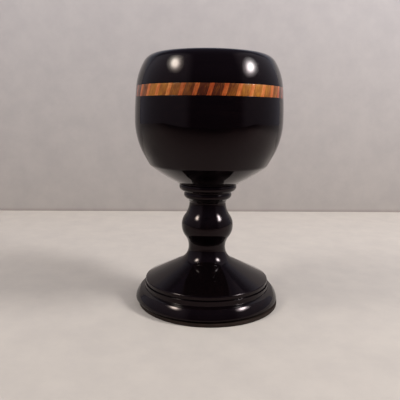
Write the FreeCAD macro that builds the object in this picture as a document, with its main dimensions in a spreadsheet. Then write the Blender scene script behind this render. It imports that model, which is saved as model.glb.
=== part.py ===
import FreeCAD, Part
import math
import os
import Sketcher

# Turned wooden communion chalice with a segmented band set into its bowl.
#
# The bowl is a cup with a ring-shaped rim above it.  A thin spigot stands up from the cup, the
# slanted blocks and slips of the band sit round that spigot, and the rim slides over it and traps
# them.  A stem with a knop joins the cup to a domed foot.  A steel rod runs up through foot and
# stem into a brass insert in the cup, and its nut pulls the three together from a recess that the
# leather pad under the foot covers.
#
# Frame: millimetres, +Z up, Z is the turning axis, origin where that axis meets the surface that
# the chalice stands on.

# Every size of the chalice.  Heights are measured from the surface that it stands on.
SIZES = {
    "total_height": 150.0,
    # leather pad under the foot, glued on a little to the right and to the front
    "pad_radius": 43.3,
    "pad_offset_right": 0.95,
    "pad_offset_front": 0.95,
    "pad_thickness": 2.0,
    # foot: a cove, a straight cone with an upright edge, a groove, a fillet, a quarter round
    "neck_radius": 11.45,
    "neck_height": 34.8,
    "foot_cove_radius": 9.8,
    "foot_cove_turn": 63.1,
    "cone_length": 23.35,
    "cone_edge_radius": 0.8,
    "edge_bottom": 13.2,
    "groove_radius": 37.7,
    "fillet_top": 12.7,
    "fillet_radius": 38.8,
    "fillet_bottom": 9.9,
    "round_top": 9.2,
    "round_top_radius": 41.3,
    "round_radius": 9.95,
    "foot_radius": 44.25,
    "foot_corner_height": 3.5,
    "relief_radius": 43.0,
    # stem: neck, knop, upper neck and a collar of two beads, with a tenon at each end
    "lower_cove_radius": 11.1,
    "lower_cove_turn": 37.0,
    "knop_curve_radius": 11.15,
    "knop_turn": 72.7,
    "upper_cove_radius": 14.0,
    "upper_cove_turn": 35.7,
    "collar_foot_radius": 12.3,
    "collar_foot_height": 64.5,
    "small_bead_bottom_radius": 13.4,
    "small_bead_bottom": 65.3,
    "small_bead_top_radius": 14.2,
    "small_bead_top": 69.0,
    "small_bead_curve": 2.6,
    "large_bead_bottom_radius": 16.3,
    "large_bead_bottom": 70.2,
    "large_bead_top_radius": 16.9,
    "large_bead_top": 74.3,
    "large_bead_curve": 2.8,
    "shoulder_height": 69.5,
    "seat_height": 74.9,
    "upper_tenon_radius": 8.0,
    "upper_tenon_length": 3.0,
    "lower_tenon_radius": 7.0,
    "lower_tenon_length": 10.0,
    # cup
    "bowl_radius": 44.1,
    "belly_height": 112.2,
    "side_radius": 43.2,
    "side_turn": 29.4,
    "side_length": 5.1,
    "heel_radius": 5.05,
    "heel_turn": 24.15,
    "under_radius": 119.0,
    "under_turn": 9.0,
    "belly_curve_radius": 196.0,
    "wall_thickness": 3.6,
    "floor_height": 87.5,
    # band and spigot
    "band_bottom": 125.1,
    "band_top": 131.4,
    "band_bottom_radius": 43.675,
    "band_top_radius": 43.157,
    "spigot_radius": 41.3,
    "spigot_top": 134.4,
    "slip_width": 2.3,
    "band_slant": 17.0,
    "band_pairs": 36,
    # rim ring: two tangent arcs up to a round-nosed lip that leans inward
    "lip_radius": 30.72,
    "lip_nose_radius": 1.8,
    "lip_curve_radius": 9.05,
    "lip_turn": 59.25,
    "shoulder_curve_radius": 34.3,
    # draw bolt
    "rod_radius": 3.0,
    "rod_bottom": 2.4,
    "rod_top": 84.0,
    "rod_chamfer": 0.6,
    "bore_radius": 3.3,
    "insert_radius": 5.0,
    "insert_length": 7.0,
    "recess_radius": 11.5,
    "recess_top": 9.6,
    "washer_radius": 9.0,
    "washer_thickness": 1.6,
    "nut_across_flats": 10.0,
    "nut_height": 5.0,
}

doc = FreeCAD.newDocument("Chalice")
sheet = doc.addObject("Spreadsheet::Sheet", "Sizes")
for row, (alias, number) in enumerate(SIZES.items(), start=1):
    sheet.set(f"A{row}", alias)
    sheet.set(f"B{row}", str(number))
    sheet.setAlias(f"B{row}", alias)
doc.recompute()


def amount(formula):
    """Value of a sum or difference of size names and numbers, such as "a + b - 2"."""
    total = 0.0
    sign = 1.0
    for word in formula.split():
        if word in ("+", "-"):
            sign = 1.0 if word == "+" else -1.0
        else:
            total += sign * (sheet.get(word) if word in SIZES else float(word))
    return total


def bound(formula):
    """The same sum as an expression on the sheet's cells."""
    return " ".join("Sizes." + word if word in SIZES else word for word in formula.split())


def new_body(name):
    """A body whose label names its file."""
    body = doc.addObject("PartDesign::Body", name)
    body.Label = name
    return body


def sketch_on(body, role, name, offset=None):
    """A sketch on one of the body's origin planes."""
    sketch = body.newObject("Sketcher::SketchObject", name)
    plane = [item for item in body.Origin.OriginFeatures if item.Role == role][0]
    sketch.AttachmentSupport = [(plane, "")]
    sketch.MapMode = "FlatFace"
    if offset is not None:
        sketch.AttachmentOffset = offset
    return sketch


START, END, CENTRE = 1, 2, 3
ORIGIN = (-1, 1)
VERTICAL_AXIS = -2
HEADINGS = {"up": 90.0, "down": -90.0, "out": 0.0, "in": 180.0}
QUARTER_TURN = "90"
HALF_TURN = "180"


class Outline:
    """Half a turned section, drawn edge after edge like a pen: across is the radius, up the height.

    A size is a formula on the sheet.  Straight edges and bows run to dimensioned corners; bends
    are arcs tangent to the edge before them, given by radius and turn.
    """

    def __init__(self, body, name):
        self.sketch = sketch_on(body, "XZ_Plane", name)
        self.point = None
        self.heading = None
        self.tip = None
        self.tangent = False
        self.pinned = None
        self.beginning = None

    def dimension(self, kind, formula, *where):
        """A constraint whose value follows the sheet."""
        value = amount(formula)
        if kind == "Angle":
            value = math.radians(value)
        index = self.sketch.addConstraint(Sketcher.Constraint(kind, *where, value))
        self.sketch.setExpression(f"Constraints[{index}]", bound(formula))

    def pin(self, vertex, across, up):
        """Dimension a corner from the origin; radius "0" puts it on the turning axis."""
        if across == "0":
            self.sketch.addConstraint(Sketcher.Constraint("PointOnObject", *vertex, VERTICAL_AXIS))
        elif across is not None:
            self.dimension("DistanceX", across, *ORIGIN, *vertex)
        if up is not None:
            self.dimension("DistanceY", up, *ORIGIN, *vertex)

    def start(self, across, up, heading):
        """First corner, and the direction in which a chain of bends leaves it."""
        self.point = FreeCAD.Vector(amount(across), amount(up), 0)
        self.heading = HEADINGS[heading]
        self.pinned = (across, up)

    def mark(self):
        """The pen's place, to close the outline to later."""
        return (self.point, self.tip)

    def back_to_start(self, heading):
        """Lift the pen and set it down again where the outline starts."""
        self.point, self.tip = self.beginning
        self.heading = HEADINGS[heading]
        self.tangent = False

    def attach(self, first_vertex, smooth):
        """Join a new edge to the last one, or pin it where the outline starts."""
        if self.tip is None:
            self.pin(first_vertex, *self.pinned)
            across, up = self.pinned
            self.beginning = (FreeCAD.Vector(amount(across), amount(up), 0), first_vertex)
        elif smooth:
            self.sketch.addConstraint(Sketcher.Constraint("Tangent", *self.tip, *first_vertex))
        else:
            self.sketch.addConstraint(Sketcher.Constraint("Coincident", *self.tip, *first_vertex))

    def line_to(self, across=None, up=None):
        """Straight edge to a corner; a size left out is kept from the last corner."""
        target = FreeCAD.Vector(self.point)
        if across is not None:
            target.x = amount(across)
        if up is not None:
            target.y = amount(up)
        edge = self.sketch.addGeometry(Part.LineSegment(self.point, target), False)
        self.attach((edge, START), False)
        if across is None:
            self.sketch.addConstraint(Sketcher.Constraint("Vertical", edge))
        if up is None:
            self.sketch.addConstraint(Sketcher.Constraint("Horizontal", edge))
        self.pin((edge, END), across, up)
        way = target - self.point
        self.heading = math.degrees(math.atan2(way.y, way.x))
        self.point = target
        self.tip = (edge, END)
        self.tangent = True

    def run(self, length):
        """Straight edge on in the present direction."""
        way = FreeCAD.Vector(math.cos(math.radians(self.heading)),
                             math.sin(math.radians(self.heading)), 0)
        target = self.point + way * amount(length)
        edge = self.sketch.addGeometry(Part.LineSegment(self.point, target), False)
        self.attach((edge, START), True)
        self.dimension("Distance", length, edge)
        self.point = target
        self.tip = (edge, END)

    def arc(self, centre, radius, turn):
        """Add an arc from the pen round a centre; a positive turn is to the left."""
        from_centre = self.point - centre
        begin = math.atan2(from_centre.y, from_centre.x)
        finish = begin + math.radians(turn)
        circle = Part.Circle(centre, FreeCAD.Vector(0, 0, 1), radius)
        edge = self.sketch.addGeometry(
            Part.ArcOfCircle(circle, min(begin, finish), max(begin, finish)), False)
        self.point = centre + FreeCAD.Vector(math.cos(finish), math.sin(finish), 0) * radius
        return (edge, START, END) if turn > 0 else (edge, END, START)

    def bend(self, side, radius, turn=None, up=None):
        """Arc tangent to the last edge, as far as a turn in degrees or a height."""
        sign = 1.0 if side == "left" else -1.0
        size = amount(radius)
        across_way = math.radians(self.heading + sign * 90.0)
        centre = self.point + FreeCAD.Vector(math.cos(across_way), math.sin(across_way), 0) * size
        if turn is not None:
            degrees = amount(turn)
        else:
            # measured on the outer side of the centre, where heights follow the arcsine
            before = math.asin((self.point.y - centre.y) / size)
            after = math.asin((amount(up) - centre.y) / size)
            degrees = abs(math.degrees(after - before))
        edge, first, last = self.arc(centre, size, sign * degrees)
        self.attach((edge, first), self.tangent)
        if not self.tangent:
            level = "Horizontal" if abs(self.heading) == 90.0 else "Vertical"
            self.sketch.addConstraint(Sketcher.Constraint(level, edge, CENTRE, edge, first))
        self.dimension("Radius", radius, edge)
        if turn is not None:
            self.dimension("Angle", turn, edge)
        else:
            self.pin((edge, last), None, up)
        self.heading += sign * degrees
        self.tip = (edge, last)
        self.tangent = True

    def bow_to(self, side, radius, across, up):
        """Arc of a given radius to a corner, shorter than a half circle."""
        target = FreeCAD.Vector(amount(across), amount(up), 0)
        size = amount(radius)
        chord = target - self.point
        sign = 1.0 if side == "left" else -1.0
        normal = FreeCAD.Vector(-chord.y, chord.x, 0).normalize() * sign
        depth = math.sqrt(size ** 2 - (chord.Length / 2) ** 2)
        centre = (self.point + target) * 0.5 + normal * depth
        turn = sign * 2 * math.degrees(math.asin(chord.Length / 2 / size))
        edge, first, last = self.arc(centre, size, turn)
        self.attach((edge, first), False)
        self.dimension("Radius", radius, edge)
        self.pin((edge, last), across, up)
        self.tip = (edge, last)
        self.tangent = False

    def close_to(self, place=None):
        """Last straight edge, to a marked place or to where the outline starts."""
        point, tip = place or self.beginning
        edge = self.sketch.addGeometry(Part.LineSegment(self.point, point), False)
        self.attach((edge, START), False)
        self.sketch.addConstraint(Sketcher.Constraint("Coincident", edge, END, *tip))


def revolve(body, outline, name):
    """Turn an outline about the vertical axis."""
    turned = body.newObject("PartDesign::Revolution", name)
    turned.Profile = outline.sketch
    turned.ReferenceAxis = (outline.sketch, ["V_Axis"])
    turned.Angle = 360.0
    return turned


def make_base_pad():
    """Leather disc under the foot; the whole chalice rests on it."""
    body = new_body("base_pad")
    sketch = sketch_on(body, "XY_Plane", "base_pad_circle")
    centre = FreeCAD.Vector(amount("pad_offset_right"), -amount("pad_offset_front"), 0)
    circle = Part.Circle(centre, FreeCAD.Vector(0, 0, 1), amount("pad_radius"))
    disc = sketch.addGeometry(circle, False)
    sizes = [
        ("DistanceX", (*ORIGIN, disc, CENTRE), "pad_offset_right"),
        ("DistanceY", (disc, CENTRE, *ORIGIN), "pad_offset_front"),
        ("Radius", (disc,), "pad_radius"),
    ]
    for kind, where, size in sizes:
        index = sketch.addConstraint(Sketcher.Constraint(kind, *where, amount(size)))
        sketch.setExpression(f"Constraints[{index}]", bound(size))
    pad = body.newObject("PartDesign::Pad", "base_pad_disc")
    pad.Profile = sketch
    pad.setExpression("Length", bound("pad_thickness"))
    return body


def make_foot():
    """Domed foot: socket for the stem, cone, mouldings, and a recess for the nut below."""
    body = new_body("foot")
    pen = Outline(body, "foot_outline")
    pen.start("neck_radius", "neck_height", "down")
    pen.bend("left", "foot_cove_radius", "foot_cove_turn")
    pen.run("cone_length")
    pen.bend("right", "cone_edge_radius", "foot_cove_turn")
    pen.line_to(up="edge_bottom")
    pen.line_to(across="groove_radius")
    pen.line_to(up="fillet_top")
    pen.line_to(across="fillet_radius")
    pen.line_to(up="fillet_bottom")
    pen.line_to("round_top_radius", "round_top")
    pen.bow_to("right", "round_radius", "foot_radius", "foot_corner_height")
    pen.line_to("relief_radius", "pad_thickness")
    pen.line_to(across="recess_radius")
    pen.line_to(up="recess_top")
    pen.line_to(across="bore_radius")
    pen.line_to(up="neck_height - lower_tenon_length")
    pen.line_to(across="lower_tenon_radius")
    pen.line_to(up="neck_height")
    pen.close_to()
    revolve(body, pen, "foot_turned")
    return body


def make_stem():
    """Baluster stem: knop between two necks, a two-bead collar, a tenon at each end."""
    body = new_body("stem")
    pen = Outline(body, "stem_outline")
    pen.start("neck_radius", "neck_height", "up")
    pen.bend("right", "lower_cove_radius", "lower_cove_turn")
    pen.bend("left", "knop_curve_radius", "knop_turn")
    pen.bend("right", "upper_cove_radius", "upper_cove_turn")
    pen.line_to("collar_foot_radius", "collar_foot_height")
    pen.line_to("small_bead_bottom_radius", "small_bead_bottom")
    pen.bow_to("left", "small_bead_curve", "small_bead_top_radius", "small_bead_top")
    pen.line_to(up="shoulder_height")
    pen.line_to("large_bead_bottom_radius", "large_bead_bottom")
    pen.bow_to("left", "large_bead_curve", "large_bead_top_radius", "large_bead_top")
    pen.line_to(up="seat_height")
    pen.line_to(across="upper_tenon_radius")
    pen.line_to(up="seat_height + upper_tenon_length")
    pen.line_to(across="bore_radius")
    pen.line_to(up="neck_height - lower_tenon_length")
    pen.line_to(across="lower_tenon_radius")
    pen.line_to(up="neck_height")
    pen.close_to()
    revolve(body, pen, "stem_turned")
    return body


def make_cup():
    """Lower bowl: round inside, thick floor for the insert, thin spigot for band and rim."""
    body = new_body("bowl_cup")
    pen = Outline(body, "cup_outline")
    pen.start("bowl_radius", "belly_height", "up")
    pen.bend("left", "belly_curve_radius", up="band_bottom")
    band_edge = pen.mark()
    pen.back_to_start("down")
    pen.bend("right", "side_radius", "side_turn")
    pen.run("side_length")
    pen.bend("right", "heel_radius", "heel_turn")
    pen.bend("right", "under_radius", "under_turn")
    pen.line_to(up="seat_height")
    pen.line_to(across="upper_tenon_radius")
    pen.line_to(up="seat_height + upper_tenon_length")
    pen.line_to(across="insert_radius")
    pen.line_to(up="seat_height + upper_tenon_length + insert_length")
    pen.line_to(across="0")
    pen.line_to(up="floor_height")
    pen.line_to(across="bowl_radius - wall_thickness - belly_height + floor_height")
    pen.bend("left", "belly_height - floor_height", QUARTER_TURN)
    pen.bend("left", "belly_curve_radius - wall_thickness", up="spigot_top")
    pen.line_to(across="spigot_radius")
    pen.line_to(up="band_bottom")
    pen.close_to(band_edge)
    revolve(body, pen, "cup_turned")
    return body


def make_rim_ring():
    """Upper bowl: slides over the spigot, traps the band and carries the lip."""
    body = new_body("bowl_rim_ring")
    pen = Outline(body, "rim_outline")
    pen.start("lip_radius", "total_height", "out")
    pen.bend("right", "lip_curve_radius", "lip_turn")
    pen.bend("right", "shoulder_curve_radius", up="band_top")
    band_edge = pen.mark()
    pen.back_to_start("in")
    pen.bend("left", "lip_nose_radius", HALF_TURN)
    pen.bend("right", "lip_curve_radius - lip_nose_radius - lip_nose_radius", "lip_turn")
    pen.bend("right", "shoulder_curve_radius - lip_nose_radius - lip_nose_radius",
             up="spigot_top")
    pen.line_to(across="spigot_radius")
    pen.line_to(up="band_top")
    pen.close_to(band_edge)
    revolve(body, pen, "rim_turned")
    return body


def band_sector(body, name):
    """One pitch of the band as a plain sector, centred on +X, before its ends are cut."""
    pen = Outline(body, name + "_outline")
    pen.start("spigot_radius", "band_bottom", "out")
    pen.line_to(across="band_bottom_radius")
    pen.bow_to("left", "belly_curve_radius", "band_top_radius", "band_top")
    pen.line_to(across="spigot_radius")
    pen.close_to()
    sector = revolve(body, pen, name + "_sector")
    sector.Midplane = True
    sector.setExpression("Angle", "360 / Sizes.band_pairs")
    return sector


def slanted_slip(sketch):
    """Parallelogram of one slip seen from outside, leaning right at the top."""
    low = amount("band_bottom")
    high = amount("band_top")
    lean = math.tan(math.radians(amount("band_slant"))) * (high - low) / 2
    half = amount("slip_width") / 2 / math.cos(math.radians(amount("band_slant")))
    corners = [(-half - lean, low), (half - lean, low), (half + lean, high), (-half + lean, high)]
    points = [FreeCAD.Vector(across, up, 0) for across, up in corners]
    first = len(sketch.Geometry)
    for number, point in enumerate(points):
        sketch.addGeometry(Part.LineSegment(point, points[(number + 1) % 4]), False)
    for number in range(4):
        follower = first + (number + 1) % 4
        sketch.addConstraint(
            Sketcher.Constraint("Coincident", first + number, END, follower, START))
    sketch.addConstraint(Sketcher.Constraint("Horizontal", first))
    sketch.addConstraint(Sketcher.Constraint("Horizontal", first + 2))
    sketch.addConstraint(Sketcher.Constraint("Parallel", first + 1, first + 3))
    # the slip's middle line crosses the vertical axis at mid height
    middle = sketch.addGeometry(Part.Point(FreeCAD.Vector(0, (low + high) / 2, 0)), True)
    sketch.addConstraint(Sketcher.Constraint("PointOnObject", middle, START, VERTICAL_AXIS))
    sketch.addConstraint(
        Sketcher.Constraint("Symmetric", first, START, first + 2, START, middle, START))
    sizes = [
        ("DistanceY", (*ORIGIN, first, START), "Sizes.band_bottom", low),
        ("DistanceY", (*ORIGIN, first + 2, START), "Sizes.band_top", high),
        ("Distance", (first,), "Sizes.slip_width / cos(Sizes.band_slant * 1deg)", 2 * half),
        ("DistanceX", (first + 1, START, first + 1, END),
         "tan(Sizes.band_slant * 1deg) * (Sizes.band_top - Sizes.band_bottom)", 2 * lean),
    ]
    for kind, where, expression, value in sizes:
        index = sketch.addConstraint(Sketcher.Constraint(kind, *where, value))
        sketch.setExpression(f"Constraints[{index}]", expression)


def outward(body, sketch, name, kind):
    """Pad or pocket from the turning axis out through the band."""
    feature = body.newObject("PartDesign::" + kind, name)
    feature.Profile = sketch
    feature.Reversed = kind == "Pocket"
    feature.setExpression("Length", "Sizes.bowl_radius + Sizes.wall_thickness")
    return feature


def make_block_pattern():
    """Block between two slips, centred on +X; its ends are the flat faces of those slips."""
    body = new_body("block_pattern")
    band_sector(body, "block")
    half_pitch = 180.0 / amount("band_pairs")
    for name, angle in (("left", half_pitch), ("right", -half_pitch)):
        turned = FreeCAD.Placement(FreeCAD.Vector(),
                                   FreeCAD.Rotation(FreeCAD.Vector(0, 1, 0), angle))
        sketch = sketch_on(body, "YZ_Plane", f"block_{name}_end", turned)
        slanted_slip(sketch)
        outward(body, sketch, f"block_{name}_cut", "Pocket")
    return body


def make_blocks():
    """Every block is a clone of one pattern, turned to its place in the band."""
    pattern = make_block_pattern()
    blocks = []
    for number in range(int(amount("band_pairs"))):
        body = new_body(f"band_block_{number + 1:02d}")
        clone = body.newObject("PartDesign::FeatureBase", f"block_clone_{number + 1:02d}")
        clone.BaseFeature = pattern
        body.Tip = clone
        body.Placement = FreeCAD.Placement(FreeCAD.Vector(),
                                           FreeCAD.Rotation(FreeCAD.Vector(0, 0, 1), 1.0))
        body.setExpression("Placement.Rotation.Angle",
                           f"360deg * ({number} + 0.5) / Sizes.band_pairs")
        blocks.append(body)
    return blocks


def make_slips():
    """All the slips as one group: a flat slab trimmed to the band's section, repeated round."""
    section = new_body("slip_section")
    band_sector(section, "slip")
    slab = new_body("slip_slab")
    sketch = sketch_on(slab, "YZ_Plane", "slip_sides")
    slanted_slip(sketch)
    outward(slab, sketch, "slip_slab_pad", "Pad")
    slip = doc.addObject("Part::Common", "slip_pattern")
    slip.Base = section
    slip.Tool = slab
    doc.recompute()
    count = int(amount("band_pairs"))
    copies = []
    for number in range(count):
        copy = slip.Shape.copy()
        copy.rotate(FreeCAD.Vector(), FreeCAD.Vector(0, 0, 1), 360.0 * number / count)
        copies.append(copy)
    group = doc.addObject("Part::Feature", "band_slips")
    group.Label = "band_slips"
    group.Shape = Part.makeCompound(copies)
    return group


def turned_blank(body, name, radius, bottom, top, bore=None):
    """A plain cylinder or tube on the turning axis, drawn as a half section."""
    pen = Outline(body, name + "_outline")
    inner = "0" if bore is None else bore
    pen.start(inner, bottom, "out")
    pen.line_to(across=radius)
    pen.line_to(up=top)
    pen.line_to(across=inner)
    pen.close_to()
    return revolve(body, pen, name + "_turned")


def make_tie_rod():
    """Steel rod up the middle, chamfered at both ends."""
    body = new_body("tie_rod")
    blank = turned_blank(body, "rod", "rod_radius", "rod_bottom", "rod_top")
    doc.recompute()
    rims = [f"Edge{number}" for number, edge in enumerate(blank.Shape.Edges, start=1)
            if isinstance(edge.Curve, Part.Circle)]
    chamfer = body.newObject("PartDesign::Chamfer", "rod_ends")
    chamfer.Base = (blank, rims)
    chamfer.setExpression("Size", bound("rod_chamfer"))
    body.Tip = chamfer
    return body


def make_insert():
    """Brass insert fixed in the cup's floor, which the rod screws into."""
    body = new_body("bowl_insert")
    turned_blank(body, "insert", "insert_radius", "seat_height + upper_tenon_length",
                 "seat_height + upper_tenon_length + insert_length", "rod_radius")
    return body


def make_washer():
    """Washer against the ceiling of the recess in the foot."""
    body = new_body("tie_washer")
    turned_blank(body, "washer", "washer_radius", "recess_top - washer_thickness", "recess_top",
                 "rod_radius")
    return body


def make_nut():
    """Hexagon nut below the washer."""
    prism = doc.addObject("Part::Prism", "nut_prism")
    prism.Polygon = 6
    prism.setExpression("Circumradius", "Sizes.nut_across_flats / 2 / cos(30deg)")
    prism.setExpression("Height", bound("nut_height"))
    thread = doc.addObject("Part::Cylinder", "nut_thread")
    thread.setExpression("Radius", bound("rod_radius"))
    thread.setExpression("Height", bound("nut_height"))
    nut = doc.addObject("Part::Cut", "tie_nut")
    nut.Label = "tie_nut"
    nut.Base = prism
    nut.Tool = thread
    nut.setExpression("Placement.Base.z", bound("recess_top - washer_thickness - nut_height"))
    return nut


pieces = [make_base_pad(), make_foot(), make_stem(), make_cup(), make_rim_ring(), make_slips(),
          make_tie_rod(), make_insert(), make_washer(), make_nut()] + make_blocks()
doc.recompute()

for item in doc.Objects:
    if "Invalid" in item.State or "Error" in item.State:
        raise RuntimeError(f"{item.Name} could not be built")
for piece in pieces:
    if piece.Shape.isNull() or not piece.Shape.isValid():
        raise RuntimeError(f"{piece.Label} has no valid shape")

os.makedirs("parts", exist_ok=True)
for piece in pieces:
    piece.Shape.exportStep(f"parts/{piece.Label}.step")
print(len(pieces), "pieces written")
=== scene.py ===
"""Looks of a turned communion chalice in glossy near-black wood with a slanted inlaid band.

The turned pieces are lathed again from their outlines with far finer steps and eased corners,
the band's blocks and slips are rebuilt one by one with their own grain, and the pad and the
hidden draw bolt get materials of their own.  Outlines are in millimetres, meshes in metres.
"""
import math
import random

import bpy
from mathutils import Matrix, Vector


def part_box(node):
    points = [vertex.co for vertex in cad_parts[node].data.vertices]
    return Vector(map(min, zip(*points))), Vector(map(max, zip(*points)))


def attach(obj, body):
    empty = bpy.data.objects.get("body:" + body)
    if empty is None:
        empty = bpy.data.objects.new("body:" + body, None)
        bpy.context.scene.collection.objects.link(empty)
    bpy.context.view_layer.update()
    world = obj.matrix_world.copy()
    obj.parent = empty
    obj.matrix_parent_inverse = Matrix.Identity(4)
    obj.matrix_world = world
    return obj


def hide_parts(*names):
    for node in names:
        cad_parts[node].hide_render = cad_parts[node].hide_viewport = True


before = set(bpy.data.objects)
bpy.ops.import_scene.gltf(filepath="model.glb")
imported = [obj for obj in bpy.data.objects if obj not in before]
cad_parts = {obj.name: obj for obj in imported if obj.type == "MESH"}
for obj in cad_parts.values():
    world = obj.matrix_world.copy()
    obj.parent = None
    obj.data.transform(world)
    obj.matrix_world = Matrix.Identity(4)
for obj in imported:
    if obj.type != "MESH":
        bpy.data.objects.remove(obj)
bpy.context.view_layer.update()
MM = 0.001


def height_span(node):
    """Lowest and highest point of a CAD node, in millimetres."""
    low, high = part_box(node)
    return low[2] / MM, high[2] / MM


pad_low, pad_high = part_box("base_pad")
PAD_RADIUS = (pad_high.x - pad_low.x) / 2 / MM
PAD_CENTRE = (pad_low + pad_high).to_2d() / 2 / MM
PAD_TOP = height_span("base_pad")[1]
NECK_HEIGHT = height_span("foot")[1]
SEAT_HEIGHT = height_span("bowl_cup")[0]
BAND_BOTTOM, BAND_TOP = height_span("band_slips")
SPIGOT_TOP = height_span("bowl_cup")[1]
TOTAL_HEIGHT = height_span("bowl_rim_ring")[1]

# Sizes of the turned pieces, in millimetres, with turns in degrees.  A curve is an arc's radius.
NECK_RADIUS = 11.45
BORE_RADIUS = 3.3
# foot: a cove, a straight cone with an upright edge, a groove, a fillet and a quarter round
FOOT_COVE_CURVE = 9.8
FOOT_COVE_TURN = 63.1
CONE_LENGTH = 23.35
CONE_EDGE_CURVE = 0.8
EDGE_BOTTOM = 13.2
GROOVE_RADIUS = 37.7
FILLET_TOP = 12.7
FILLET_RADIUS = 38.8
FILLET_BOTTOM = 9.9
ROUND_TOP = 9.2
ROUND_TOP_RADIUS = 41.3
ROUND_CURVE = 9.95
FOOT_RADIUS = 44.25
FOOT_CORNER_HEIGHT = 3.5
RELIEF_RADIUS = 43.0
RECESS_RADIUS = 11.5
RECESS_TOP = 9.6
# stem: a neck, a knop, an upper neck and a collar of two beads, with a tenon at each end
LOWER_TENON_RADIUS = 7.0
LOWER_TENON_LENGTH = 10.0
LOWER_COVE_CURVE = 11.1
LOWER_COVE_TURN = 37.0
KNOP_CURVE = 11.15
KNOP_TURN = 72.7
UPPER_COVE_CURVE = 14.0
UPPER_COVE_TURN = 35.7
COLLAR_FOOT = (12.3, 64.5)
SMALL_BEAD_BOTTOM = (13.4, 65.3)
SMALL_BEAD_TOP = (14.2, 69.0)
SMALL_BEAD_CURVE = 2.6
SHOULDER_HEIGHT = 69.5
LARGE_BEAD_BOTTOM = (16.3, 70.2)
LARGE_BEAD_TOP = (16.9, 74.3)
LARGE_BEAD_CURVE = 2.8
TENON_RADIUS = 8.0
TENON_LENGTH = 3.0
# cup: a belly over a side, a straight, a heel and a shallow underside
BOWL_RADIUS = 44.1
BELLY_HEIGHT = 112.2
BELLY_CURVE = 196.0
SIDE_CURVE = 43.2
SIDE_TURN = 29.4
SIDE_LENGTH = 5.1
HEEL_CURVE = 5.05
HEEL_TURN = 24.15
UNDER_CURVE = 119.0
UNDER_TURN = 9.0
WALL = 3.6
FLOOR_HEIGHT = 87.5
INSERT_RADIUS = 5.0
INSERT_LENGTH = 7.0
SPIGOT_RADIUS = 41.3
# rim ring: two arcs up to a round-nosed lip
LIP_RADIUS = 30.72
LIP_CURVE = 9.05
LIP_TURN = 59.25
SHOULDER_CURVE = 34.3

# Fineness of the meshes: the longest steps of an arc, the steps of a full turn, how far the
# rounding of an ordinary corner reaches, and the most that it may take of a line beside it.
# A point nearer than TINY to the axis is on it, and a corner eased by less than that stays sharp.
ARC_STEP = math.radians(3.0)
ARC_LONGEST = 1.2
TURN_STEPS = 160
EASE = 0.14
EASE_SHARE = 0.45
TINY = 0.01


# ---------------------------------------------------------------- outlines

class Pen:
    """Draws half a turned section as points (radius, height), in millimetres.

    Each point has an ease, the reach of the rounding of its corner.  Headings are in degrees.
    """

    def __init__(self, radius, height, heading=0.0, ease=EASE):
        self.points = [(radius, height)]
        self.eases = [ease]
        self.heading = heading

    def line_to(self, radius=None, height=None, ease=EASE):
        last_radius, last_height = self.points[-1]
        radius = last_radius if radius is None else radius
        height = last_height if height is None else height
        self.heading = math.degrees(math.atan2(height - last_height, radius - last_radius))
        self.points.append((radius, height))
        self.eases.append(ease)
        return self

    def run(self, length):
        radius, height = self.points[-1]
        way = math.radians(self.heading)
        self.eases[-1] = 0.0
        return self.line_to(radius + length * math.cos(way), height + length * math.sin(way), 0.0)

    def arc(self, centre, size, begin, sweep, end_ease):
        steps = max(2, math.ceil(max(abs(sweep) / ARC_STEP, abs(sweep) * size / ARC_LONGEST)))
        for step in range(1, steps + 1):
            angle = begin + sweep * step / steps
            self.points.append((centre[0] + size * math.cos(angle),
                                centre[1] + size * math.sin(angle)))
            self.eases.append(end_ease if step == steps else 0.0)

    def bend(self, side, size, turn=None, height=None, ease=0.0):
        """Arc tangent to the way the pen is going, as far as a turn or a height."""
        sign = 1 if side == "left" else -1
        radius_now, height_now = self.points[-1]
        sideways = math.radians(self.heading + sign * 90)
        centre = (radius_now + size * math.cos(sideways), height_now + size * math.sin(sideways))
        begin = math.atan2(height_now - centre[1], radius_now - centre[0])
        if turn is None:
            turn = math.degrees(abs(math.asin((height - centre[1]) / size)
                                    - math.asin((height_now - centre[1]) / size)))
        self.arc(centre, size, begin, sign * math.radians(turn), ease)
        self.heading += sign * turn
        return self

    def bow_to(self, side, size, radius, height, ease=EASE):
        """Arc of a given size to a corner."""
        sign = 1 if side == "left" else -1
        start = Vector(self.points[-1])
        chord = Vector((radius, height)) - start
        normal = Vector((-chord.y, chord.x)).normalized() * sign
        centre = start + chord / 2 + normal * math.sqrt(size ** 2 - (chord.length / 2) ** 2)
        begin = math.atan2(start.y - centre.y, start.x - centre.x)
        sweep = sign * 2 * math.asin(chord.length / 2 / size)
        self.arc(centre, size, begin, sweep, ease)
        return self

    def eased(self):
        """The closed outline with each corner rounded by its own small amount."""
        count = len(self.points)
        result = []
        for index, (point, ease) in enumerate(zip(self.points, self.eases)):
            here = Vector(point)
            before = Vector(self.points[index - 1]) - here
            after = Vector(self.points[(index + 1) % count]) - here
            reach = min(ease, before.length * EASE_SHARE, after.length * EASE_SHARE)
            if reach < TINY or here.x < TINY:
                result.append(here)
                continue
            first = here + before.normalized() * reach
            last = here + after.normalized() * reach
            for blend in (0.0, 0.25, 0.5, 0.75, 1.0):
                result.append(first * (1 - blend) ** 2 + here * 2 * blend * (1 - blend)
                              + last * blend ** 2)
        return result


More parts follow.
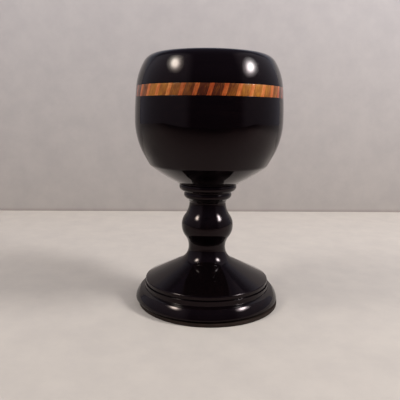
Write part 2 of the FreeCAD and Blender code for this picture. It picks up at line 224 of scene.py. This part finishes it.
def foot_outline():
    """Foot, from the neck down the outside and up its recess, bore and socket."""
    pen = Pen(NECK_RADIUS, NECK_HEIGHT, -90, ease=0.05)
    pen.bend("left", FOOT_COVE_CURVE, FOOT_COVE_TURN).run(CONE_LENGTH)
    pen.bend("right", CONE_EDGE_CURVE, FOOT_COVE_TURN).line_to(height=EDGE_BOTTOM)
    pen.line_to(GROOVE_RADIUS).line_to(height=FILLET_TOP)
    pen.line_to(FILLET_RADIUS).line_to(height=FILLET_BOTTOM)
    pen.line_to(ROUND_TOP_RADIUS, ROUND_TOP, ease=0.6)
    pen.bow_to("right", ROUND_CURVE, FOOT_RADIUS, FOOT_CORNER_HEIGHT, ease=0.45)
    pen.line_to(RELIEF_RADIUS, PAD_TOP).line_to(RECESS_RADIUS)
    pen.line_to(height=RECESS_TOP).line_to(BORE_RADIUS)
    pen.line_to(height=NECK_HEIGHT - LOWER_TENON_LENGTH).line_to(LOWER_TENON_RADIUS)
    pen.line_to(height=NECK_HEIGHT)
    return pen.eased()


def stem_outline():
    """Stem, from the neck up the outside and down its bore."""
    pen = Pen(NECK_RADIUS, NECK_HEIGHT, 90, ease=0.05)
    pen.bend("right", LOWER_COVE_CURVE, LOWER_COVE_TURN)
    pen.bend("left", KNOP_CURVE, KNOP_TURN)
    pen.bend("right", UPPER_COVE_CURVE, UPPER_COVE_TURN, ease=EASE)
    pen.line_to(*COLLAR_FOOT).line_to(*SMALL_BEAD_BOTTOM)
    pen.bow_to("left", SMALL_BEAD_CURVE, *SMALL_BEAD_TOP).line_to(height=SHOULDER_HEIGHT)
    pen.line_to(*LARGE_BEAD_BOTTOM).bow_to("left", LARGE_BEAD_CURVE, *LARGE_BEAD_TOP)
    pen.line_to(height=SEAT_HEIGHT).line_to(TENON_RADIUS)
    pen.line_to(height=SEAT_HEIGHT + TENON_LENGTH).line_to(BORE_RADIUS)
    pen.line_to(height=NECK_HEIGHT - LOWER_TENON_LENGTH).line_to(LOWER_TENON_RADIUS)
    pen.line_to(height=NECK_HEIGHT)
    return pen.eased()


def cup_outline():
    """Cup, from the belly down to the stem's socket, up the inside, and down the side's top."""
    down = Pen(BOWL_RADIUS, BELLY_HEIGHT, -90, ease=0.0)
    down.bend("right", SIDE_CURVE, SIDE_TURN).run(SIDE_LENGTH)
    down.bend("right", HEEL_CURVE, HEEL_TURN).bend("right", UNDER_CURVE, UNDER_TURN)
    down.line_to(height=SEAT_HEIGHT).line_to(TENON_RADIUS)
    down.line_to(height=SEAT_HEIGHT + TENON_LENGTH).line_to(INSERT_RADIUS)
    down.line_to(height=SEAT_HEIGHT + TENON_LENGTH + INSERT_LENGTH).line_to(0.0)
    down.line_to(height=FLOOR_HEIGHT)
    bottom_curve = BELLY_HEIGHT - FLOOR_HEIGHT
    down.line_to(BOWL_RADIUS - WALL - bottom_curve, ease=0.0)
    down.bend("left", bottom_curve, 90.0)
    down.bend("left", BELLY_CURVE - WALL, height=SPIGOT_TOP)
    down.line_to(SPIGOT_RADIUS).line_to(height=BAND_BOTTOM)
    up = Pen(BOWL_RADIUS, BELLY_HEIGHT, 90, ease=0.0)
    up.bend("left", BELLY_CURVE, height=BAND_BOTTOM)
    side = list(zip(up.points, up.eases))[:0:-1]
    down.points += [point for point, _ in side]
    down.eases += [0.08 if index == 0 else 0.0 for index in range(len(side))]
    return down.eased()


def rim_outline():
    """Rim ring, from the lip down the outside, and from the lip down the inside."""
    out = Pen(LIP_RADIUS, TOTAL_HEIGHT, 0, ease=0.0)
    out.bend("right", LIP_CURVE, LIP_TURN)
    out.bend("right", SHOULDER_CURVE, height=BAND_TOP, ease=0.08)
    out.line_to(SPIGOT_RADIUS).line_to(height=SPIGOT_TOP)
    inner = Pen(LIP_RADIUS, TOTAL_HEIGHT, 180, ease=0.0)
    inner.bend("left", WALL / 2, 180.0).bend("right", LIP_CURVE - WALL, LIP_TURN)
    inner.bend("right", SHOULDER_CURVE - WALL, height=SPIGOT_TOP)
    side = inner.points[:0:-1]
    out.points += side
    out.eases += [0.0] * len(side)
    return out.eased()


def pad_outline():
    """Flat disc with a softened edge."""
    pen = Pen(0.0, 0.0)
    pen.line_to(PAD_RADIUS, ease=0.5).line_to(height=PAD_TOP, ease=0.2).line_to(0.0)
    return pen.eased()


# ---------------------------------------------------------------- meshes

def mesh_piece(name, vertices, faces, node, material, smooth_angle=35.0):
    """A finished piece that stands for a CAD node."""
    mesh = bpy.data.meshes.new(name)
    mesh.from_pydata([Vector(vertex) * MM for vertex in vertices], [], faces)
    mesh.validate()
    piece = bpy.data.objects.new(name, mesh)
    bpy.context.scene.collection.objects.link(piece)
    mesh.materials.append(material)
    mesh.shade_smooth()
    mesh.set_sharp_from_angle(angle=math.radians(smooth_angle))
    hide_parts(node)
    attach(piece, "root")
    return piece


def lathe(name, outline, node, material, centre=(0.0, 0.0)):
    """Turn a closed outline about a vertical axis through a centre."""
    vertices = []
    rings = []
    for point in outline:
        if point.x < TINY:
            rings.append([len(vertices)])
            vertices.append((*centre, point.y))
            continue
        rings.append(list(range(len(vertices), len(vertices) + TURN_STEPS)))
        for step in range(TURN_STEPS):
            angle = math.tau * step / TURN_STEPS
            vertices.append((centre[0] + point.x * math.cos(angle),
                             centre[1] + point.x * math.sin(angle), point.y))
    faces = []
    for ring, after in zip(rings, rings[1:] + rings[:1]):
        if len(ring) == 1 and len(after) == 1:
            continue
        for step in range(TURN_STEPS):
            beyond = (step + 1) % TURN_STEPS
            corners = [ring[step % len(ring)], ring[beyond % len(ring)],
                       after[beyond % len(after)], after[step % len(after)]]
            faces.append(tuple(dict.fromkeys(corners)))
    piece = mesh_piece(name, vertices, faces, node, material)
    outward = sum(face.center.to_2d().dot(face.normal.to_2d()) * face.area
                  for face in piece.data.polygons)
    low_up = sum(face.center.z * face.normal.z * face.area for face in piece.data.polygons)
    if outward + low_up < 0:
        piece.data.flip_normals()


SLIP_COUNT = 36
SLIP_WIDTH = 2.3
SLANT = math.radians(17.0)
BAND_MIDDLE = (BAND_BOTTOM + BAND_TOP) / 2
# half a glue line, its depth, and the width of the slope that runs down into it
GLUE_GAP = 0.025
GROOVE = 0.035
GROOVE_HEIGHT = 0.12
GROOVE_SHARE = 0.035
CELL_ROWS = 8


def bowl_radius_at(height):
    """Outer radius of the bowl's upper side."""
    return (BOWL_RADIUS - BELLY_CURVE
            + math.sqrt(BELLY_CURVE ** 2 - (height - BELLY_HEIGHT) ** 2))


def slip_face(number, edge, radius, height):
    """Azimuth of a slip's left (-1) or right (+1) flat face at a radius and height."""
    lean = math.tan(SLANT) * (height - BAND_MIDDLE)
    half = SLIP_WIDTH / 2 / math.cos(SLANT)
    return math.tau * number / SLIP_COUNT + math.asin((lean + edge * half) / radius)


def band_cell(left, right, shift, across=8):
    """A closed cell of the band between two slanted faces, with its own grain coordinates.

    left and right give an azimuth from radius and height.  The outer rim is drawn in a hair,
    so that each glue line shows as a fine groove.
    """
    up = CELL_ROWS
    heights = [BAND_BOTTOM + GLUE_GAP + (BAND_TOP - BAND_BOTTOM - 2 * GLUE_GAP) * row / up
               for row in range(up + 1)]
    shares = [column / across for column in range(across + 1)]
    shares[1] = GROOVE_SHARE
    shares[-2] = 1.0 - GROOVE_SHARE
    heights[1] = heights[0] + GROOVE_HEIGHT
    heights[-2] = heights[-1] - GROOVE_HEIGHT
    vertices = []
    grain = []
    for layer in range(2):
        for row, height in enumerate(heights):
            outer = bowl_radius_at(height)
            for column, share in enumerate(shares):
                at_edge = row in (0, up) or column in (0, across)
                radius = SPIGOT_RADIUS if layer else outer - (GROOVE if at_edge else 0.0)
                spare = GLUE_GAP / radius
                begin = left(radius, height) + spare
                end = right(radius, height) - spare
                azimuth = begin + (end - begin) * share
                vertices.append((radius * math.cos(azimuth), radius * math.sin(azimuth), height))
                middle = (begin + end) / 2
                along = (height - BAND_MIDDLE) / math.cos(SLANT)
                grain.append((radius * (azimuth - middle), radius, along + shift))
    columns = across + 1
    layer_size = columns * (up + 1)
    faces = []
    for row in range(up):
        for column in range(across):
            corner = row * columns + column
            quad = (corner, corner + 1, corner + columns + 1, corner + columns)
            faces.append(quad)
            faces.append(tuple(index + layer_size for index in reversed(quad)))
    border = (list(range(across))
              + [across + row * columns for row in range(up)]
              + [up * columns + column for column in range(across, 0, -1)]
              + [row * columns for row in range(up, 0, -1)])
    for index, following in zip(border, border[1:] + border[:1]):
        faces.append((following, index, index + layer_size, following + layer_size))
    return vertices, faces, grain


def add_attributes(piece, grain, tones_and_sheen):
    """Grain coordinates and a tone with painted sheen for each point, which the band's woods read.
    """
    vector = piece.data.attributes.new("grain", "FLOAT_VECTOR", "POINT")
    vector.data.foreach_set("vector", [number for point in grain for number in point])
    tone_and_sheen = piece.data.attributes.new("tone_and_sheen", "FLOAT", "POINT")
    tone_and_sheen.data.foreach_set("value", tones_and_sheen)


# ---------------------------------------------------------------- materials

class Nodes:
    """A node tree with short calls for the few nodes that the materials use."""

    def __init__(self, tree):
        self.tree = tree
        tree.nodes.clear()

    def add(self, kind, inputs=None, **settings):
        node = self.tree.nodes.new("ShaderNode" + kind)
        for name, value in settings.items():
            setattr(node, name, value)
        for name, value in (inputs or {}).items():
            if isinstance(value, bpy.types.NodeSocket):
                self.tree.links.new(value, node.inputs[name])
            else:
                node.inputs[name].default_value = value
        return node

    def math(self, operation, first, second=0.0):
        return self.add("Math", {0: first, 1: second}, operation=operation).outputs[0]

    def scaled(self, vector, scale):
        return self.add("VectorMath", {0: vector, 1: scale}, operation="MULTIPLY").outputs[0]

    def noise(self, vector, scale, detail=3.0, roughness=0.55, distortion=0.0):
        return self.add("TexNoise", {"Vector": vector, "Scale": scale, "Detail": detail,
                                     "Roughness": roughness, "Distortion": distortion}).outputs[0]

    def ramp(self, factor, stops):
        node = self.add("ValToRGB", {"Fac": factor})
        elements = node.color_ramp.elements
        while len(elements) < len(stops):
            elements.new(0.5)
        for element, (position, colour) in zip(elements, stops):
            element.position = position
            element.color = (*colour, 1.0)
        return node.outputs["Color"]

    def spread(self, value, low, high, to_low, to_high):
        return self.add("MapRange", {"Value": value, "From Min": low, "From Max": high,
                                     "To Min": to_low, "To Max": to_high}).outputs[0]

    def mix(self, factor, first, second, blend="MIX"):
        node = self.add("Mix", data_type="RGBA", blend_type=blend)
        for name, value in (("Factor_Float", factor), ("A_Color", first), ("B_Color", second)):
            socket = next(item for item in node.inputs if item.identifier == name)
            if isinstance(value, bpy.types.NodeSocket):
                self.tree.links.new(value, socket)
            else:
                socket.default_value = value if name == "Factor_Float" else (*value, 1.0)
        return next(item for item in node.outputs if item.identifier == "Result_Color")

    def bump(self, height, distance, strength):
        return self.add("Bump", {"Height": height, "Distance": distance,
                                 "Strength": strength}).outputs[0]


def new_material(name):
    material = bpy.data.materials.new(name)
    material.use_nodes = True
    return material, Nodes(material.node_tree)


def finish_material(nodes, inputs):
    shader = nodes.add("BsdfPrincipled", inputs)
    nodes.add("OutputMaterial", {"Surface": shader.outputs[0]})


# The polish mirrors less than a thick lacquer would, and a little warmly.
LACQUER_IOR = 1.29
LACQUER_TINT = (1.0, 0.76, 0.80, 1.0)


def blackwood(name, grain_axis):
    """Near-black wood under a polished finish: dark brown figure and fine pores along the grain."""
    material, nodes = new_material(name)
    place = nodes.add("TexCoord").outputs["Object"]
    along = [1.0, 1.0, 1.0]
    along["XYZ".index(grain_axis)] = 0.07
    stretched = nodes.scaled(place, along)
    figure = nodes.noise(stretched, 420.0, detail=5.0, distortion=0.6)
    broad = nodes.noise(stretched, 90.0, detail=2.0)
    colour = nodes.ramp(figure, [(0.30, (0.0014, 0.0008, 0.0011)), (0.62, (0.0028, 0.0015, 0.0018)),
                                 (0.80, (0.0080, 0.0038, 0.0030))])
    colour = nodes.mix(nodes.spread(broad, 0.4, 0.7, 0.0, 0.6), colour, (0.0022, 0.0014, 0.0018))
    pores = nodes.noise(nodes.scaled(place, [value if value < 1 else 3.0 for value in along]),
                        2600.0, detail=1.0)
    pits = nodes.spread(pores, 0.66, 0.78, 0.0, 1.0)
    roughness = nodes.spread(figure, 0.3, 0.8, 0.04, 0.07)
    normal = nodes.bump(nodes.math("MULTIPLY", pits, -1.0), 0.00001, 0.5)
    finish_material(nodes, {"Base Color": colour, "Roughness": roughness, "Normal": normal,
                            "IOR": LACQUER_IOR, "Specular Tint": LACQUER_TINT})
    return material


def band_wood(name, stops, coarse, fine):
    """Wood of the band: its colour runs with the piece's tone and painted sheen, its lines with its
    own grain.
    """
    material, nodes = new_material(name)
    grain = nodes.add("Attribute", attribute_name="grain").outputs["Vector"]
    tone_and_sheen = nodes.add("Attribute", attribute_name="tone_and_sheen").outputs["Fac"]
    lines = nodes.noise(nodes.scaled(grain, (1.0, 0.4, 0.10)), fine, detail=4.0, distortion=0.3)
    patches = nodes.noise(nodes.scaled(grain, (1.0, 0.6, 0.5)), coarse, detail=2.0)
    shift = nodes.math("ADD", nodes.spread(lines, 0.3, 0.7, -0.16, 0.16),
                       nodes.spread(patches, 0.3, 0.7, -0.13, 0.13))
    colour = nodes.ramp(nodes.math("ADD", tone_and_sheen, shift), stops)
    normal = nodes.bump(lines, 0.000012, 0.5)
    finish_material(nodes, {"Base Color": colour, "Roughness": 0.38, "Normal": normal,
                            "Specular IOR Level": 0.10, "Coat Weight": 1.0,
                            "Coat Roughness": 0.05, "Coat IOR": LACQUER_IOR})
    return material


def leather():
    """Thin brown leather with blotches and fine creases."""
    material, nodes = new_material("pad_leather")
    place = nodes.add("TexCoord").outputs["Object"]
    cells = nodes.add("TexVoronoi", {"Vector": place, "Scale": 1400.0},
                      feature="DISTANCE_TO_EDGE").outputs[0]
    blotches = nodes.noise(place, 160.0, detail=4.0)
    creases = nodes.spread(cells, 0.0, 0.25, 0.0, 1.0)
    colour = nodes.ramp(blotches, [(0.25, (0.011, 0.006, 0.005)), (0.55, (0.021, 0.012, 0.009)),
                                   (0.80, (0.034, 0.020, 0.015))])
    colour = nodes.mix(nodes.spread(creases, 0.0, 1.0, 0.45, 0.0), colour, (0.020, 0.010, 0.006))
    finish_material(nodes, {"Base Color": colour,
                            "Roughness": nodes.spread(blotches, 0.2, 0.8, 0.55, 0.75),
                            "Normal": nodes.bump(creases, 0.00005, 0.6),
                            "Specular IOR Level": 0.15})
    return material


def turned_metal(name, colour_low, colour_high, roughness):
    """Metal with fine marks round the turning axis."""
    material, nodes = new_material(name)
    place = nodes.add("TexCoord").outputs["Object"]
    marks = nodes.noise(nodes.scaled(place, (0.15, 0.15, 1.0)), 9000.0, detail=3.0)
    smears = nodes.noise(place, 500.0, detail=3.0)
    colour = nodes.mix(smears, colour_low, colour_high)
    finish_material(nodes, {"Base Color": colour, "Metallic": 1.0,
                            "Roughness": nodes.spread(smears, 0.2, 0.8, roughness, roughness + 0.2),
                            "Normal": nodes.bump(marks, 0.000005, 0.6)})
    return material


# ---------------------------------------------------------------- the object

bowl_wood = blackwood("blackwood_bowl", "X")
stem_wood = blackwood("blackwood_stem", "Z")
foot_wood = blackwood("blackwood_foot", "Y")
lathe("bowl_cup_turned", cup_outline(), "bowl_cup", bowl_wood)
lathe("bowl_rim_turned", rim_outline(), "bowl_rim_ring", bowl_wood)
lathe("stem_turned", stem_outline(), "stem", stem_wood)
lathe("foot_turned", foot_outline(), "foot", foot_wood)
lathe("base_pad_disc", pad_outline(), "base_pad", leather(), PAD_CENTRE)

# Colours of the band's woods from dark to gold; where a piece sits along them is its own tone plus
# painted sheen.
BLOCK_STOPS = [(0.00, (0.022, 0.004, 0.002)), (0.30, (0.085, 0.017, 0.004)),
               (0.60, (0.260, 0.080, 0.009)), (1.00, (0.540, 0.215, 0.022))]
SLIP_STOPS = [(0.00, (0.180, 0.024, 0.006)), (0.45, (0.360, 0.060, 0.012)),
              (0.75, (0.600, 0.165, 0.034)), (1.00, (0.720, 0.300, 0.080))]
block_wood = band_wood("band_block_wood", BLOCK_STOPS, coarse=0.35, fine=2.6)
slip_wood = band_wood("band_slip_wood", SLIP_STOPS, coarse=0.45, fine=3.0)

FRONT = -math.pi / 2
# How often the painted sheen comes round the bowl, and how wide its gold runs.
SHEEN_REPEATS = 5
SHEEN_POWER = 0.6
BAND_SMOOTH_ANGLE = 25.0
dice = random.Random(7)


def painted_sheen(azimuth):
    """Painted sheen and shade: the band is dark at the front, gold a tenth of a turn to each side
    where the lamps' light falls, and back, a few times round the bowl.
    """
    wave = 0.5 - 0.5 * math.cos(SHEEN_REPEATS * (azimuth - FRONT))
    return wave ** SHEEN_POWER


for number in range(SLIP_COUNT):
    middle = math.tau * (number + 0.5) / SLIP_COUNT
    vertices, faces, grain = band_cell(
        lambda radius, height: slip_face(number, 1, radius, height),
        lambda radius, height: slip_face(number + 1, -1, radius, height),
        shift=31.0 * number)
    node = f"band_block_{number + 1:02d}"
    block = mesh_piece(node + "_wood", vertices, faces, node, block_wood,
                       BAND_SMOOTH_ANGLE)
    # A block's tone: the painted sheen plus a random tone of its own.
    tone_and_sheen = 0.17 + 0.60 * painted_sheen(middle) + dice.uniform(-0.07, 0.07)
    add_attributes(block, grain, [tone_and_sheen] * len(vertices))

all_vertices, all_faces, all_grain, all_tones_and_sheen = [], [], [], []
for number in range(SLIP_COUNT):
    vertices, faces, grain = band_cell(
        lambda radius, height: slip_face(number, -1, radius, height),
        lambda radius, height: slip_face(number, 1, radius, height),
        shift=17.0 * number + 5.0, across=5)
    offset = len(all_vertices)
    # A slip's tone: the painted sheen plus a random tone of its own.
    tone_and_sheen = 0.38 + 0.36 * painted_sheen(math.tau * number / SLIP_COUNT) + dice.uniform(-0.08, 0.08)
    all_vertices += vertices
    all_faces += [tuple(index + offset for index in face) for face in faces]
    all_grain += grain
    all_tones_and_sheen += [tone_and_sheen] * len(vertices)
slips = mesh_piece("band_slips_wood", all_vertices, all_faces, "band_slips",
                   slip_wood, BAND_SMOOTH_ANGLE)
add_attributes(slips, all_grain, all_tones_and_sheen)

steel = turned_metal("rod_steel", (0.42, 0.42, 0.43), (0.62, 0.62, 0.60), 0.25)
brass = turned_metal("insert_brass", (0.62, 0.42, 0.16), (0.80, 0.60, 0.28), 0.22)
for node, metal in (("tie_rod", steel), ("tie_washer", steel), ("tie_nut", steel),
                    ("bowl_insert", brass)):
    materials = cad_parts[node].data.materials
    materials.clear()
    materials.append(metal)


# ---------------------------------------------------------------- studio

def stage_plane(name, corners, axis, colours_and_shade, roughness):
    """A matt sheet of the studio, faintly uneven like paper.

    The colours given at distances along an axis, in metres, are its pale colour with painted light
    and shade graded in.
    """
    mesh = bpy.data.meshes.new(name)
    mesh.from_pydata(corners, [], [(0, 1, 2, 3)])
    plane = bpy.data.objects.new(name, mesh)
    bpy.context.scene.collection.objects.link(plane)
    material, nodes = new_material(name)
    place = nodes.add("TexCoord").outputs["Object"]
    # Colour along the axis, painted light and shade included.
    begin, end = colours_and_shade[0][0], colours_and_shade[-1][0]
    along = nodes.add("SeparateXYZ", {"Vector": place}).outputs[axis]
    stops = [((at - begin) / (end - begin), colour) for at, colour in colours_and_shade]
    paint = nodes.ramp(nodes.spread(along, begin, end, 0.0, 1.0), stops)
    cloud = nodes.noise(place, 45.0, detail=6.0, roughness=0.65)
    paint = nodes.mix(nodes.spread(cloud, 0.35, 0.65, 0.0, 1.0), paint,
                      nodes.mix(1.0, paint, (0.92, 0.92, 0.93), blend="MULTIPLY"))
    fibres = nodes.noise(place, 900.0, detail=3.0)
    finish_material(nodes, {"Base Color": paint, "Roughness": roughness,
                            "Specular IOR Level": 0.15,
                            "Normal": nodes.bump(fibres, 0.0001, 0.3)})
    mesh.materials.append(material)


# Studio, in metres: a table and a wall that is turned a little to the camera
WALL_DISTANCE = 0.285
WALL_HALF_WIDTH = 0.38
WALL_HEIGHT = 0.60
WALL_YAW = 0.05
FLOOR_REACH = 1.6
FLOOR_FRONT = 0.55
# The floor's paint carries painted light and shade: lighter towards the back, darker towards the
# front, and near black out of the camera's sight in front, a painted shadow that only the gloss
# mirrors.
FLOOR_COLOUR_AND_SHADE = [(-0.55, (0.02, 0.015, 0.02)), (-0.38, (0.09, 0.07, 0.07)),
                (-0.26, (0.31, 0.26, 0.24)), (-0.17, (0.46, 0.40, 0.37)),
                (-0.115, (0.56, 0.515, 0.480)),
                (0.06, (0.60, 0.555, 0.52)), (0.30, (0.69, 0.64, 0.60))]
# The wall's paint carries painted shade and reflection: a dark painted crease shadow at its foot,
# darker towards the bottom, and above what the camera sees a fade to dark blue that only the gloss
# mirrors.
WALL_COLOUR_AND_SHADE = [(0.0, (0.33, 0.29, 0.275)), (0.004, (0.435, 0.40, 0.385)),
               (0.25, (0.54, 0.51, 0.52)), (0.33, (0.36, 0.38, 0.47)),
               (0.50, (0.08, 0.08, 0.12))]
stage_plane("floor", [(-FLOOR_REACH, -FLOOR_FRONT, 0), (FLOOR_REACH, -FLOOR_FRONT, 0),
                      (FLOOR_REACH, FLOOR_REACH, 0), (-FLOOR_REACH, FLOOR_REACH, 0)],
            "Y", FLOOR_COLOUR_AND_SHADE, 0.6)
wall_left = WALL_DISTANCE - WALL_YAW * WALL_HALF_WIDTH
wall_right = WALL_DISTANCE + WALL_YAW * WALL_HALF_WIDTH
stage_plane("backdrop", [(-WALL_HALF_WIDTH, wall_left, -0.001),
                         (WALL_HALF_WIDTH, wall_right, -0.001),
                         (WALL_HALF_WIDTH, wall_right, WALL_HEIGHT),
                         (-WALL_HALF_WIDTH, wall_left, WALL_HEIGHT)],
            "Z", WALL_COLOUR_AND_SHADE, 0.8)

# Lamps, in metres.  A lamp's light on matt things comes from one disc, MATT_SHARE of its size, and
# its glint in gloss from the shells, each a share of its size with a share of its strength.
LAMP_AIM = Vector((0, 0, 0.07))
LAMP_DISTANCE = 0.75
LAMP_WIDTH = 0.285
LAMP_HEIGHT = 0.48
MATT_SHARE = 0.55
SOFT_SHELLS = ((1.0, 0.03), (0.84, 0.05), (0.68, 0.10), (0.54, 0.22), (0.42, 0.30), (0.30, 0.30))
SHELL_GAP = 0.002


def soft_lamp(name, azimuth, elevation, roll, radiance, glint, colour, glint_colour):
    """Soft lamp aimed at the chalice, brightest at its middle, as nested discs of light.

    Azimuth 0 is the camera's side and 90 is to its right.
    """
    turn = math.radians(azimuth)
    rise = math.radians(elevation)
    facing = Matrix.Rotation(math.radians(roll), 4, "Z")
    way = Vector((math.sin(turn) * math.cos(rise), -math.cos(turn) * math.cos(rise),
                  math.sin(rise)))
    shells = [(MATT_SHARE, radiance, colour)]
    shells += [(share, glint * strength, glint_colour) for share, strength in SOFT_SHELLS]
    for number, (share, strength, tint) in enumerate(shells):
        light = bpy.data.lights.new(f"{name}_{number}", "AREA")
        light.shape = "ELLIPSE"
        light.size = LAMP_WIDTH * share
        light.size_y = LAMP_HEIGHT * share
        area = math.pi / 4 * light.size * light.size_y
        light.energy = math.pi * strength * area
        light.color = tint
        lamp_object = bpy.data.objects.new(light.name, light)
        lamp_object.visible_glossy = number > 0
        lamp_object.visible_diffuse = number == 0
        bpy.context.scene.collection.objects.link(lamp_object)
        place = LAMP_AIM + way * (LAMP_DISTANCE - SHELL_GAP * number)
        lamp_object.matrix_world = (Matrix.Translation(place)
                                    @ way.to_track_quat("Z", "Y").to_matrix().to_4x4() @ facing)
        lamp_object.visible_camera = False


soft_lamp("key_right", azimuth=73, elevation=40, roll=-52, radiance=39.0, glint=75.0,
          colour=(1.0, 0.97, 0.93), glint_colour=(0.92, 1.0, 0.97))
soft_lamp("key_left", azimuth=-68, elevation=46, roll=52, radiance=18.5, glint=46.0,
          colour=(1.0, 0.95, 0.87), glint_colour=(0.95, 1.0, 0.84))

# Surroundings: the way to the two screens, and the colours from low to high of what gloss mirrors.
# Gloss sees the screens and the dark room between them, matt things an even light.
SCREEN_WAY = (0.987, 0.16, 0.0)
SCREEN_COLOURS = ((0.30, 0.29, 0.34), (0.54, 0.52, 0.60))
ROOM_COLOURS = ((0.065, 0.042, 0.070), (0.130, 0.120, 0.180))
AMBIENT_COLOUR = (0.505, 0.492, 0.500)
BACKGROUND_COLOUR = (0.52, 0.48, 0.46)


def studio_world():
    """Pale surroundings, in which gloss mirrors two side screens and a darker room."""
    world = bpy.data.worlds.new("studio")
    bpy.context.scene.world = world
    world.use_nodes = True
    nodes = Nodes(world.node_tree)
    way = nodes.add("TexCoord").outputs["Generated"]
    flattened = nodes.add("VectorMath", {0: nodes.scaled(way, (1.0, 1.0, 0.5))},
                          operation="NORMALIZE").outputs[0]
    sideways = nodes.add("VectorMath", {0: flattened, 1: SCREEN_WAY},
                         operation="DOT_PRODUCT").outputs["Value"]
    screens = nodes.add("MapRange", {"Value": nodes.math("ABSOLUTE", sideways),
                                     "From Min": 0.56, "From Max": 0.76},
                        interpolation_type="SMOOTHSTEP").outputs[0]
    rise = nodes.add("SeparateXYZ", {"Vector": way}).outputs["Z"]
    climb = nodes.spread(rise, -0.05, 0.60, 0.0, 1.0)
    mirrored = nodes.mix(screens, nodes.mix(climb, *ROOM_COLOURS),
                         nodes.mix(climb, *SCREEN_COLOURS))
    rays = nodes.add("LightPath").outputs
    colour = nodes.mix(rays["Is Glossy Ray"], AMBIENT_COLOUR, mirrored)
    colour = nodes.mix(rays["Is Camera Ray"], colour, BACKGROUND_COLOUR)
    background = nodes.add("Background", {"Color": colour, "Strength": 1.0})
    nodes.add("OutputWorld", {"Surface": background.outputs[0]})


CAMERA_PLACE = (-0.0047, -0.2953, 0.1151)
CAMERA_PITCH = 9.89
CAMERA_ROLL = 0.80
CAMERA_LENS = 43.73
CAMERA_SENSOR = 36.0


def camera():
    """Camera level with the bowl, looking a little down, rolled by under a degree."""
    data = bpy.data.cameras.new("camera")
    data.sensor_width = CAMERA_SENSOR
    data.lens = CAMERA_LENS
    data.clip_start = 0.01
    data.clip_end = 20.0
    camera_object = bpy.data.objects.new("camera", data)
    bpy.context.scene.collection.objects.link(camera_object)
    tilt = Matrix.Rotation(math.radians(90 - CAMERA_PITCH), 4, "X")
    spin = Matrix.Rotation(math.radians(CAMERA_ROLL), 4, "Z")
    camera_object.matrix_world = Matrix.Translation(CAMERA_PLACE) @ tilt @ spin
    bpy.context.scene.camera = camera_object


studio_world()
camera()
bpy.context.scene.view_settings.view_transform = "Standard"
